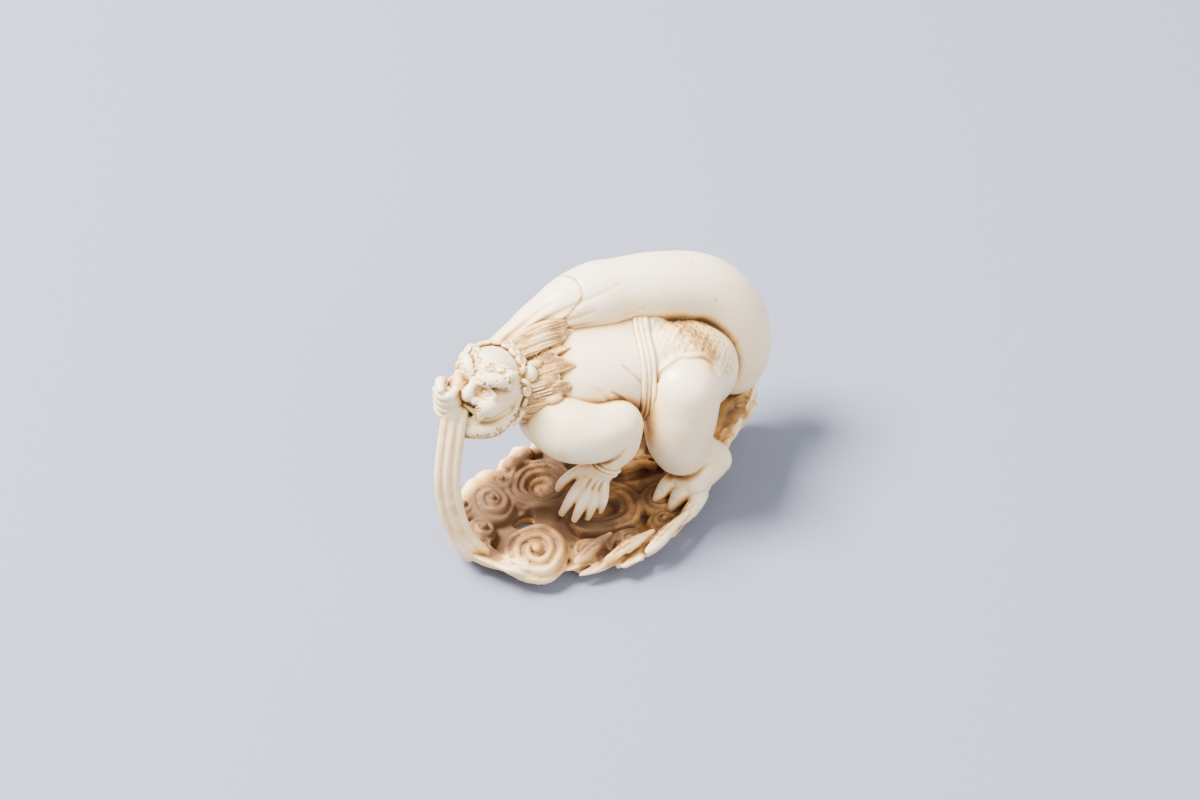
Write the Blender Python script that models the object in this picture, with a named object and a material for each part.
"""Netsuke: a wind god crouching on a cloud under a full bag of wind, carved from one piece of ivory.

The carving stands on the flat underside of its cloud dish. +Z is up, the head and the strap of the bag
are at -X, the tail of the bag is at +X, and -Y is the side with the hand and the foot on the cloud.
The origin is the middle of the box's underside. Blender's unit is the metre.
"""

import math

import bpy
import bmesh
from mathutils import Matrix, Vector

MM = 0.001

# Driving sizes
LENGTH = 51.0 * MM
WIDTH = 28.0 * MM
HEIGHT = 30.0 * MM
RIM_HEIGHT = 3.6 * MM
FLOOR = 1.9 * MM
RIM_WALL = 1.5 * MM
CORD_HOLE = 3.4 * MM
STRAP_WIDTH = 3.7 * MM
STRAP_THICKNESS = 1.7 * MM
FINGER = 1.35 * MM
BELT_CORD = 1.0 * MM

# Fineness of the carved surface
VOXEL = 0.28 * MM
SOFTENING = 2
TRIANGLES = 9600
SWEEP_STEPS = 5
SWEEP_SIDES = 18
DISH_SIDES = 84
LOBE_COUNT = 19
BEAD_COUNT = 9
LOCK_COUNT = 10

# The pose is kept as shares of the carving's own size: 51sts of its length, 28ths of its width
# and 30ths of its height, so that at the sizes above a share is one millimetre.
ALONG = LENGTH / 51.0
ACROSS = WIDTH / 28.0
UP = HEIGHT / 30.0
STOUT = (ALONG + ACROSS + UP) / 3.0

HOLE_PLACE = (-12.2, 3.0)

# The dish seen from above, in shares: its half width, and its reach from its widest place to each end
WIDEST_PLACE = -2.0
DISH_HALF = 12.4
HEAD_REACH = 20.6
TAIL_REACH = 25.6

# The head looks along -X, lifts its face and turns it a little towards the hand's side
HEAD = (-13.1, 7.8, 23.7)
FACE_FORWARD = Vector((-0.80, -0.28, 0.53)).normalized()
FACE_SIDE = Vector((0.25, -0.96, -0.10)).normalized()
FACE_UP = FACE_FORWARD.cross(FACE_SIDE).normalized()

# The cords of the belt lie across this way along the waist
WAIST_ALONG = Vector((0.95, -0.24, -0.24)).normalized()
WAIST_SIDE = Vector((0.24, 0.97, 0.0)).normalized()


def spot(x, y, z):
    """A place in the carving, from its shares of length, width and height."""
    return Vector((x * ALONG, y * ACROSS, z * UP))


def face_spot(forward, side, up):
    """A place on the head, as shares measured from the head's middle in its own tilt."""
    offset = FACE_FORWARD * forward + FACE_SIDE * side + FACE_UP * up
    return (HEAD[0] + offset.x, HEAD[1] + offset.y, HEAD[2] + offset.z)


def curve_through(stations, steps):
    """Stations (x, y, z, radius, ...) joined by one smooth curve with steps pieces to each gap."""
    points = [tuple(station) for station in stations]
    count = len(points)
    smooth = []
    for index in range(count - 1):
        before = points[max(index - 1, 0)]
        start = points[index]
        end = points[index + 1]
        after = points[min(index + 2, count - 1)]
        for step in range(steps):
            t = step / steps
            row = []
            for a, b, c, d in zip(before, start, end, after):
                bend = 2 * a - 5 * b + 4 * c - d
                twist = 3 * b - a - 3 * c + d
                row.append(b + 0.5 * t * ((c - a) + t * (bend + t * twist)))
            smooth.append(tuple(row))
    smooth.append(points[-1])
    return smooth


def sweep(mesh, stations, wide=1.0, across=(0.0, 0.0, 1.0), ribs=0, rib_depth=0.0):
    """Adds a closed tube with round ends. Its section is wide times broader along across."""
    samples = curve_through(stations, SWEEP_STEPS)
    centres = [spot(*sample[:3]) for sample in samples]
    radii = [sample[3] * STOUT for sample in samples]
    broad = Vector(across).normalized()
    rings = []
    last = len(centres) - 1
    round_end = [math.radians(angle) for angle in (75, 50, 25)]

    def ring(centre, radius, tangent):
        side = (broad - tangent * broad.dot(tangent)).normalized()
        normal = tangent.cross(side)
        loop = []
        for index in range(SWEEP_SIDES):
            angle = 2 * math.pi * index / SWEEP_SIDES
            reach = radius * (1.0 + rib_depth * math.cos(ribs * angle))
            offset = side * (reach * wide * math.cos(angle)) + normal * (reach * math.sin(angle))
            loop.append(mesh.verts.new(centre + offset))
        return loop

    tangents = []
    for index in range(last + 1):
        ahead = centres[min(index + 1, last)] - centres[max(index - 1, 0)]
        tangents.append(ahead.normalized())
    start_pole = mesh.verts.new(centres[0] - tangents[0] * radii[0])
    for angle in round_end:
        centre = centres[0] - tangents[0] * (radii[0] * math.sin(angle))
        rings.append(ring(centre, radii[0] * math.cos(angle), tangents[0]))
    for centre, radius, tangent in zip(centres, radii, tangents):
        rings.append(ring(centre, radius, tangent))
    for angle in reversed(round_end):
        centre = centres[last] + tangents[last] * (radii[last] * math.sin(angle))
        rings.append(ring(centre, radii[last] * math.cos(angle), tangents[last]))
    end_pole = mesh.verts.new(centres[last] + tangents[last] * radii[last])
    close_rings(mesh, rings, start_pole, end_pole)


def close_rings(mesh, rings, start_pole, end_pole):
    """Faces between neighbouring rings, and a fan at each end."""
    sides = len(rings[0])
    for first, second in zip(rings, rings[1:]):
        for index in range(sides):
            beyond = (index + 1) % sides
            mesh.faces.new((first[index], first[beyond], second[beyond], second[index]))
    for index in range(sides):
        beyond = (index + 1) % sides
        mesh.faces.new((start_pole, rings[0][beyond], rings[0][index]))
        mesh.faces.new((end_pole, rings[-1][index], rings[-1][beyond]))


def ball(mesh, place, radii, turn=None):
    """Adds an egg-shaped form with three radii, turned by a matrix."""
    size = Matrix.Diagonal((radii[0] * STOUT, radii[1] * STOUT, radii[2] * STOUT, 1.0))
    turned = turn.to_4x4() if turn else Matrix.Identity(4)
    matrix = Matrix.Translation(spot(*place)) @ turned @ size
    bmesh.ops.create_icosphere(mesh, subdivisions=3, radius=1.0, matrix=matrix)


def face_turn():
    """The head's tilt as a matrix, with its own forward, side and up as the axes."""
    return Matrix((FACE_FORWARD, FACE_SIDE, FACE_UP)).transposed()


def dish_half(x):
    """Half the dish's width at a place between its widest place and its narrow end."""
    along = min(1.0, max(0.0, (x - WIDEST_PLACE) / TAIL_REACH))
    return DISH_HALF * (1.0 - along ** 1.35) ** 0.80


def dish_outline(angle):
    """The cloud dish from above: an egg, blunt under the head and narrow under the tail of the bag."""
    along = math.cos(angle)
    if along < 0:
        x = WIDEST_PLACE + HEAD_REACH * along
        half = DISH_HALF * math.sqrt(1.0 - along * along)
        middle = 3.2 * along * along
    else:
        x = WIDEST_PLACE + TAIL_REACH * along
        half = dish_half(x)
        middle = 0.4 * along
    side = 1.0 if math.sin(angle) >= 0 else -1.0
    return x, middle + side * half


def swell(angle, middle, spread):
    """A smooth bump of 1 at an angle round the dish, gone about two spreads away."""
    return math.exp(-(((angle - middle) / spread) ** 2))


def rim_dip(angle):
    """How far the rim dips beside the big curl and in front of the hand."""
    return 1.0 * swell(angle, 3.83, 0.55) + 0.6 * swell(angle, 4.98, 0.6)


def draw_in(angle):
    """The share of the outline that is left where the dish draws in beside the big curl."""
    return 1.0 - 0.055 * swell(angle, 4.08, 0.45)


def rim_rise(x):
    """How far the rim lifts towards the two ends of the dish."""
    return 3.9 * max(0.0, (x - 5.0) / 18.0) ** 1.5 + 1.2 * max(0.0, (-x - 12.0) / 11.0) ** 2


def add_dish(mesh):
    """The open dish of cloud: a flat underside, a flaring scalloped wall and a sunken floor."""
    wall = RIM_WALL / STOUT / DISH_HALF
    floor = FLOOR / UP
    rim = RIM_HEIGHT / UP
    # Share of the outline, height, and how far the height follows the rim
    profile = (
        (0.66, -0.6, 0.0), (0.72, 0.0, 0.0), (0.88, 0.25 * rim, 0.25), (0.98, 0.62 * rim, 0.7),
        (1.0, 0.93 * rim, 1.0), (1.0 - 0.35 * wall, rim, 1.0), (1.0 - wall, 0.93 * rim, 1.0),
        (0.97 - wall, 0.66 * rim, 0.6), (0.90 - wall, floor, 0.1), (0.55, floor, 0.0),
    )
    rings = []
    for share, height, lift in profile:
        loop = []
        for index in range(DISH_SIDES):
            angle = 2 * math.pi * index / DISH_SIDES
            x, y = dish_outline(angle)
            scallop = draw_in(angle) + 0.022 * math.sin(11 * angle + 0.8) * min(1.0, max(0.0, height))
            rise = lift * (rim_rise(x) - rim_dip(angle))
            place = spot(x * share * scallop, y * share * scallop, height + rise)
            loop.append(mesh.verts.new(place))
        rings.append(loop)
    start_pole = mesh.verts.new(spot(0.0, 0.0, -0.6))
    end_pole = mesh.verts.new(spot(0.0, 0.0, floor))
    close_rings(mesh, rings, start_pole, end_pole)


def add_scroll(mesh, place, reach, turns, thick, rise, start, way):
    """One curl of cloud: a ridge that winds in to a bead on a low mound."""
    x, y, z = place
    ball(mesh, (x, y, z - 1.3), (reach * 1.05, reach * 1.05, 1.5 + 0.5 * rise))
    stations = []
    count = int(9 * turns)
    for index in range(count + 1):
        t = index / count
        angle = math.radians(start) + way * 2 * math.pi * turns * t
        away = reach * (1.0 - t) ** 0.9 + 0.2 * thick
        stations.append((x + away * math.cos(angle), y + away * math.sin(angle), z + rise * t,
                         thick * (1.0 - 0.4 * t)))
    sweep(mesh, stations)
    ball(mesh, (x, y, z + rise), (thick * 0.9, thick * 0.9, thick * 0.9))


def add_clouds(mesh):
    """The curls inside the dish and the lobes along its rim."""
    add_scroll(mesh, (-7.4, 5.8, 3.4), 4.1, 2.0, 0.80, 0.2, 200, -1)
    add_scroll(mesh, (-14.8, -3.4, 4.4), 3.4, 1.9, 0.80, 0.9, 250, 1)
    add_scroll(mesh, (-2.8, -2.6, 3.3), 4.6, 2.0, 0.85, 0.1, 300, -1)
    add_scroll(mesh, (-14.8, 6.8, 4.2), 2.6, 1.3, 0.95, 0.5, 100, 1)
    add_scroll(mesh, (4.0, -4.6, 3.6), 2.6, 1.5, 0.80, 0.4, 40, 1)
    add_scroll(mesh, (5.0, 5.0, 3.4), 4.2, 1.9, 0.85, 0.4, 20, 1)
    add_scroll(mesh, (13.4, 1.6, 4.2), 3.0, 1.5, 0.85, 0.5, 150, -1)
    add_scroll(mesh, (-1.4, 9.2, 3.8), 2.2, 1.2, 0.85, 0.4, 250, -1)
    add_scroll(mesh, (-8.6, -7.2, 3.2), 2.0, 1.1, 0.80, 0.3, 120, -1)
    for index in range(LOBE_COUNT):
        angle = 2 * math.pi * (index + 0.35) / LOBE_COUNT
        x, y = dish_outline(angle)
        size = 1.55 + 0.35 * math.sin(3.7 * index)
        rim = RIM_HEIGHT / UP + rim_rise(x) - rim_dip(angle)
        inset = 0.91 * draw_in(angle)
        ball(mesh, (x * inset, y * inset, rim - 0.6), (size * 1.3, size * 1.1, 1.3))
    # Streaks of cloud run along the inside of the wall towards the tail of the bag
    for side in (-1.0, 1.0):
        for level in (0.0, 1.0):
            stations = []
            for index in range(7):
                x = 6.0 + 2.6 * index
                inset = 0.84 - 0.16 * level
                reach = side * dish_half(x) * inset
                stations.append((x, reach, 3.2 - 0.5 * level + rim_rise(x), 0.85))
            sweep(mesh, stations)


def add_tail_rest(mesh):
    """The tongue of cloud that rises at the far end to meet the tail of the bag."""
    stations = ((15.0, 0.4, 2.6, 2.0), (18.6, 0.4, 4.0, 2.2), (21.0, 0.4, 6.0, 2.2), (22.0, 0.6, 8.2, 1.5))
    sweep(mesh, stations, wide=1.5, across=(0, 1, 0))


def add_bag(mesh):
    """The full wind bag: a gathered neck from the raised fist, a long swelling body and a blunt tail."""
    sweep(mesh, ((-19.6, 7.4, 24.8, 1.4), (-15.2, 9.2, 25.3, 1.6), (-10.3, 10.2, 25.4, 1.9),
                 (-6.5, 10.7, 25.8, 2.2), (-3.1, 11.1, 26.0, 2.7), (1.5, 10.9, 26.0, 3.6),
                 (5.0, 10.2, 25.7, 4.2)), ribs=7, rib_depth=0.08)
    sweep(mesh, ((1.5, 10.7, 25.9, 3.3), (5.6, 10.0, 25.6, 4.4), (12.1, 8.0, 24.7, 4.9),
                 (18.3, 5.8, 22.4, 5.1), (21.0, 3.5, 18.6, 5.2), (21.3, 1.9, 14.6, 4.8),
                 (20.6, 1.2, 11.9, 4.1)))


def add_strap(mesh):
    """The flat tail of the bag, from below the fist in a bow down to the rim of the cloud."""
    half = STRAP_WIDTH / (2 * STOUT)
    flat = STRAP_WIDTH / STRAP_THICKNESS
    thin = half / flat
    route = ((-19.6, 6.5, 23.6), (-21.3, 5.4, 19.6), (-22.6, 4.5, 15.0), (-22.8, 3.6, 10.6),
             (-22.2, 2.6, 6.4), (-20.8, 1.0, 2.6))
    sweep(mesh, [(*place, thin * 0.75) for place in route], wide=flat * 1.1, across=(0.75, -0.66, 0))
    side = Vector((0.75, -0.66, 0.0)).normalized()
    over = Vector((-0.66, -0.75, 0.0)).normalized()
    for share in (-0.66, 0.0, 0.66):
        offset = side * (half * share) + over * (thin * 0.6)
        sweep(mesh, [(x + offset.x, y + offset.y, z, 0.62) for x, y, z in route])


def add_torso(mesh):
    """The bent back, from between the shoulders to the hips, with the skirt over the hips."""
    sweep(mesh, ((-7.0, 6.6, 19.6, 4.6), (-3.0, 5.0, 19.4, 5.7), (2.0, 3.5, 18.9, 5.9),
                 (6.2, 2.2, 18.5, 5.5), (10.5, 1.2, 17.4, 5.8), (13.6, 0.9, 15.8, 5.2)))
    # The tiger-skin skirt is a thick band with a turned hem
    sweep(mesh, ((8.2, 1.8, 18.3, 5.5), (10.8, 1.0, 17.7, 6.3), (13.4, 0.4, 16.4, 5.9)))
    # The nape, and the back under the bag
    sweep(mesh, ((-8.0, 6.8, 20.2, 3.6), (-11.5, 7.2, 21.4, 3.4)))
    sweep(mesh, ((-6.0, 8.6, 22.2, 2.8), (1.0, 7.6, 22.4, 3.4), (9.0, 5.2, 21.4, 3.8)))


def add_belt(mesh):
    """Two cords side by side round the waist."""
    for x in (5.1, 6.7):
        middle = (x, 2.5 - 0.25 * (x - 5.1), 18.6)
        add_ring(mesh, middle, WAIST_ALONG, WAIST_SIDE, 5.7, 0.6 * BELT_CORD / STOUT)


def add_ring(mesh, place, axis, side, reach, thick):
    """A cord round the waist, or a bangle round a wrist or an ankle."""
    over = axis.cross(side).normalized()
    middle = Vector(place)
    stations = []
    for index in range(17):
        angle = 2 * math.pi * index / 16
        point = middle + side * (reach * math.cos(angle)) + over * (reach * math.sin(angle))
        stations.append((*point, thick))
    sweep(mesh, stations)


def add_near_arm(mesh):
    """The arm on the hand's side: a full shoulder, a bent elbow and a hand set down on the cloud."""
    sweep(mesh, ((-7.8, 2.8, 18.6, 4.1), (-6.9, -0.1, 17.9, 4.2), (-4.6, -2.2, 17.5, 3.8),
                 (-1.9, -2.9, 17.7, 3.25)))
    sweep(mesh, ((-1.5, -3.1, 17.6, 3.0), (-1.9, -3.7, 15.2, 2.5), (-3.2, -3.7, 13.3, 1.8),
                 (-3.9, -3.6, 12.3, 1.4)))
    wrist = Vector((-0.45, 0.05, -0.88)).normalized()
    add_ring(mesh, (-4.1, -3.6, 12.0), wrist, wrist.orthogonal().normalized(), 1.5, 0.5)
    add_hand(mesh)


def add_hand(mesh):
    """The hanging hand: a flat back, four fingers and a thumb, with their tips on the cloud."""
    sweep(mesh, ((-4.0, -3.5, 12.0, 1.15), (-4.9, -3.0, 9.9, 1.15)), wide=1.5, across=(0.6, -0.8, 0))
    half = FINGER / (2 * STOUT)
    for root, middle, tip in (
        ((-5.9, -1.9, 9.9), (-7.7, -1.5, 7.2), (-8.9, -0.9, 4.5)),
        ((-5.5, -2.6, 9.6), (-7.1, -2.8, 6.9), (-8.1, -2.5, 4.2)),
        ((-5.0, -3.2, 9.5), (-6.1, -3.6, 6.9), (-6.7, -3.4, 4.4)),
        ((-4.5, -3.8, 9.7), (-5.0, -4.2, 7.4), (-5.2, -4.0, 5.2)),
    ):
        sweep(mesh, ((*root, half * 1.15), (*middle, half * 1.1), (*tip, half * 0.75)))
    sweep(mesh, ((-4.8, -2.0, 11.4, half * 1.15), (-6.2, -0.3, 9.6, half * 1.15), (-7.2, 1.1, 7.4, half),
                 (-7.5, 1.7, 6.0, half * 0.7)))


def add_far_arm(mesh):
    """The arm on the far side, raised to hold the neck of the bag beside the face."""
    sweep(mesh, ((-6.0, 9.4, 19.4, 4.0), (-9.0, 11.2, 17.8, 3.2), (-12.0, 11.9, 16.9, 2.7)))
    sweep(mesh, ((-12.0, 11.9, 16.9, 2.6), (-15.9, 11.0, 19.6, 2.0), (-18.9, 9.2, 22.8, 1.5)))
    ball(mesh, (-19.7, 7.9, 24.9), (1.4, 1.4, 2.1))
    half = FINGER / (2 * STOUT)
    for index in range(4):
        height = 26.4 - 1.05 * index
        sweep(mesh, ((-19.0, 7.1, height + 0.2, half * 0.8), (-20.1, 6.7, height, half * 0.9),
                     (-20.9, 7.5, height - 0.1, half * 0.9), (-20.8, 8.7, height, half * 0.8)))


def add_near_leg(mesh):
    """The near leg in a deep squat, its foot on the rim of the cloud."""
    sweep(mesh, ((12.8, 0.0, 16.6, 4.7), (10.4, -2.0, 17.7, 4.8), (8.3, -3.7, 18.2, 4.6)))
    sweep(mesh, ((8.2, -3.9, 18.4, 4.5), (7.4, -4.4, 15.4, 4.7), (6.8, -4.8, 12.2, 4.25),
                 (7.0, -5.0, 9.9, 3.6)))
    sweep(mesh, ((8.0, -4.6, 10.4, 3.0), (10.2, -4.6, 7.4, 2.5), (11.4, -4.9, 5.2, 2.2)))
    add_foot(mesh, (9.8, -5.2, 5.6), -1.0)


def add_foot(mesh, ankle, side):
    """A broad foot with three clawed toes."""
    x, y, z = ankle
    sole = ((x + 1.8, y, z - 0.3, 2.1), (x - 0.8, y + 0.6 * side, z - 0.2, 2.2),
            (x - 3.0, y + 1.3 * side, z - 0.7, 1.7))
    sweep(mesh, sole, wide=1.3, across=(0, 1, 0))
    half = FINGER / (2 * STOUT)
    for index in range(3):
        spread = index - 1.0
        root = (x - 3.1 + 0.5 * index, y + 1.7 * side + 1.6 * side * spread, z - 1.1)
        tip = (x - 6.7 + 1.2 * index, y + 2.5 * side + 2.1 * side * spread, z - 2.6)
        knuckle = [(a + b) / 2 for a, b in zip(root, tip)]
        sweep(mesh, ((*root, half * 1.65), (knuckle[0], knuckle[1], z - 1.3, half * 1.6), (*tip, half * 0.8)))


def add_far_leg(mesh):
    """The far leg, squatting like the near one."""
    sweep(mesh, ((12.2, 3.6, 16.0, 5.0), (9.4, 6.4, 16.6, 4.5), (7.0, 8.2, 16.6, 4.0)))
    sweep(mesh, ((7.0, 8.2, 16.4, 4.0), (7.0, 8.2, 12.6, 3.5), (8.4, 7.6, 7.6, 2.4)))
    ankle = Vector((0.3, -0.1, -0.95)).normalized()
    add_ring(mesh, (8.6, 7.6, 6.8), ankle, ankle.orthogonal().normalized(), 2.3, 0.6)
    add_foot(mesh, (8.6, 7.4, 4.6), 0.3)


def add_head(mesh):
    """The demon's head: a round skull, heavy brows, a broad nose, full cheeks and a bearded jaw."""
    turn = face_turn()
    ball(mesh, HEAD, (4.7, 4.3, 4.6), turn)
    ball(mesh, face_spot(1.0, 0.0, -2.6), (3.9, 3.5, 3.0), turn)
    for side in (-1.0, 1.0):
        sweep(mesh, ((*face_spot(4.5, 0.5 * side, 1.2), 0.9), (*face_spot(4.3, 1.9 * side, 1.9), 1.05),
                     (*face_spot(3.1, 3.3 * side, 1.4), 0.75)))
        ball(mesh, face_spot(4.2, 1.8 * side, 0.1), (0.85, 1.1, 0.8), turn)
        ball(mesh, face_spot(3.6, 2.3 * side, -1.7), (1.5, 1.4, 1.3), turn)
        ball(mesh, face_spot(4.9, 0.9 * side, -1.3), (0.8, 0.8, 0.7), turn)
        # The ear, with its long lobe
        sweep(mesh, ((*face_spot(-0.6, 4.1 * side, 1.4), 0.9), (*face_spot(-0.9, 4.6 * side, -0.2), 1.1),
                     (*face_spot(-0.4, 4.4 * side, -2.4), 0.85)))
    ball(mesh, face_spot(5.3, 0.0, -1.1), (1.0, 0.95, 0.9), turn)
    sweep(mesh, ((*face_spot(4.6, 0.0, 0.9), 0.7), (*face_spot(5.2, 0.0, -0.6), 0.85)))
    # Upper lip, lower lip and the fringe of beard along the jaw
    sweep(mesh, ((*face_spot(3.6, -1.9, -2.9), 0.55), (*face_spot(4.7, 0.0, -2.3), 0.6),
                 (*face_spot(3.6, 1.9, -2.9), 0.55)))
    sweep(mesh, ((*face_spot(3.2, -1.7, -4.0), 0.55), (*face_spot(4.3, 0.0, -4.7), 0.7),
                 (*face_spot(3.2, 1.7, -4.0), 0.55)))
    sweep(mesh, ((*face_spot(0.2, -3.7, -2.6), 1.0), (*face_spot(2.0, -2.9, -4.6), 1.2),
                 (*face_spot(3.3, 0.0, -5.6), 1.3), (*face_spot(2.0, 2.9, -4.6), 1.2),
                 (*face_spot(0.2, 3.7, -2.6), 1.0)))


def add_headband(mesh):
    """A band of small curls over the brow, with one round ornament on the hand's side."""
    stations = []
    for index in range(BEAD_COUNT):
        angle = math.radians(-104 + 208 * index / (BEAD_COUNT - 1))
        stations.append((*face_spot(-0.6, 4.3 * math.sin(angle), 4.5 * math.cos(angle)), 0.75))
    sweep(mesh, stations)
    for index in range(BEAD_COUNT):
        angle = math.radians(-94 + 182 * index / (BEAD_COUNT - 1))
        place = face_spot(-0.3, 4.7 * math.sin(angle), 4.9 * math.cos(angle))
        ball(mesh, place, (0.75, 0.75, 0.75))
    ball(mesh, (-9.6, 4.7, 25.4), (1.1, 1.1, 1.1))


def add_hair(mesh):
    """Long locks that fall from under the band over the shoulders, each ending in a point."""
    along = Vector((0.96, -0.27, 0.0)).normalized()
    side = Vector((-0.27, -0.96, 0.0)).normalized()
    over = Vector((0.0, 0.0, 1.0))
    nape = Vector((-10.6, 7.2, 20.8))
    for index in range(LOCK_COUNT):
        turn = math.radians(-52 + 140 * index / (LOCK_COUNT - 1))
        reach = 6.2 + 1.3 * math.sin(2.1 * index)
        outward = side * math.sin(turn) + over * math.cos(turn)
        sway = (side * math.cos(turn) - over * math.sin(turn)) * (0.5 * math.sin(1.7 * index))
        stations = []
        for share, away, radius in ((0.0, 4.0, 0.8), (0.35, 4.3, 1.15), (0.7, 4.6, 0.95), (1.0, 4.7, 0.35)):
            place = nape + along * (reach * share) + outward * away + sway * math.sin(math.pi * share)
            stations.append((*place, radius))
        sweep(mesh, stations)


def cut(carving, name, build):
    """Takes the body that build makes away from the carving."""
    mesh = bmesh.new()
    build(mesh)
    bmesh.ops.recalc_face_normals(mesh, faces=mesh.faces)
    data = bpy.data.meshes.new(name)
    mesh.to_mesh(data)
    mesh.free()
    cutter = bpy.data.objects.new(name, data)
    cutter.display_type = "WIRE"
    cutter.hide_render = True
    cutter.parent = carving
    bpy.context.scene.collection.objects.link(cutter)
    add_modifier(carving, "BOOLEAN", operation="DIFFERENCE", solver="EXACT", object=cutter)


def add_ground(mesh):
    """The space under the carving, which leaves its underside flat."""
    block = Matrix.Diagonal((2 * LENGTH, 2 * WIDTH, HEIGHT, 1.0))
    bmesh.ops.create_cube(mesh, size=1.0, matrix=Matrix.Translation((0, 0, -HEIGHT / 2)) @ block)


def add_cord_hole(mesh):
    """The oval hole pierced through the dish for the cord."""
    oval = Matrix.Diagonal((CORD_HOLE / 2, CORD_HOLE * 0.36, 1.0, 1.0))
    matrix = Matrix.Translation(spot(*HOLE_PLACE, 0.0)) @ oval
    bmesh.ops.create_cone(mesh, cap_ends=True, segments=20, radius1=1.0, radius2=1.0, depth=HEIGHT / 2,
                          matrix=matrix)


def ivory(name, colour, roughness):
    """A plain polished ivory."""
    material = bpy.data.materials.new(name)
    material.use_nodes = True
    shader = material.node_tree.nodes["Principled BSDF"]
    shader.inputs["Base Color"].default_value = (*colour, 1.0)
    shader.inputs["Roughness"].default_value = roughness
    shader.inputs["Metallic"].default_value = 0.0
    return material


def add_modifier(carving, kind, **settings):
    """Adds one modifier and sets its values."""
    modifier = carving.modifiers.new(kind.title(), kind)
    for name, value in settings.items():
        setattr(modifier, name, value)
    return modifier


def measure(carving):
    """The triangles that the carving has with its modifiers so far, and its box's two corners."""
    bpy.context.view_layer.update()
    graph = bpy.context.evaluated_depsgraph_get()
    evaluated = carving.evaluated_get(graph)
    mesh = evaluated.to_mesh()
    mesh.calc_loop_triangles()
    count = len(mesh.loop_triangles)
    places = [evaluated.matrix_world @ vertex.co for vertex in mesh.vertices]
    lowest = Vector([min(place[axis] for place in places) for axis in range(3)])
    highest = Vector([max(place[axis] for place in places) for axis in range(3)])
    evaluated.to_mesh_clear()
    return count, lowest, highest


def main():
    for leftover in list(bpy.data.objects):
        bpy.data.objects.remove(leftover, do_unlink=True)

    mesh = bmesh.new()
    for build in (add_dish, add_clouds, add_tail_rest, add_bag, add_strap, add_torso, add_belt,
                  add_near_arm, add_far_arm, add_near_leg, add_far_leg, add_head, add_headband, add_hair):
        build(mesh)
    bmesh.ops.recalc_face_normals(mesh, faces=mesh.faces)
    data = bpy.data.meshes.new("netsuke")
    mesh.to_mesh(data)
    mesh.free()
    data.shade_smooth()
    carving = bpy.data.objects.new("netsuke", data)
    bpy.context.scene.collection.objects.link(carving)
    carving.data.materials.append(ivory("ivory", (0.80, 0.70, 0.55), 0.35))

    add_modifier(carving, "REMESH", mode="VOXEL", voxel_size=VOXEL, use_smooth_shade=True)
    add_modifier(carving, "SMOOTH", factor=0.5, iterations=SOFTENING)
    dense, _, _ = measure(carving)
    add_modifier(carving, "DECIMATE", decimate_type="COLLAPSE", ratio=TRIANGLES / dense)
    cut(carving, "ground_cutter", add_ground)
    cut(carving, "cord_hole_cutter", add_cord_hole)
    count, lowest, highest = measure(carving)
    # The origin is the middle of the box's underside
    carving.location = (-(lowest.x + highest.x) / 2, -(lowest.y + highest.y) / 2, 0.0)
    print("forms fused from", dense, "triangles to", count, "and moved by", tuple(carving.location))


main()
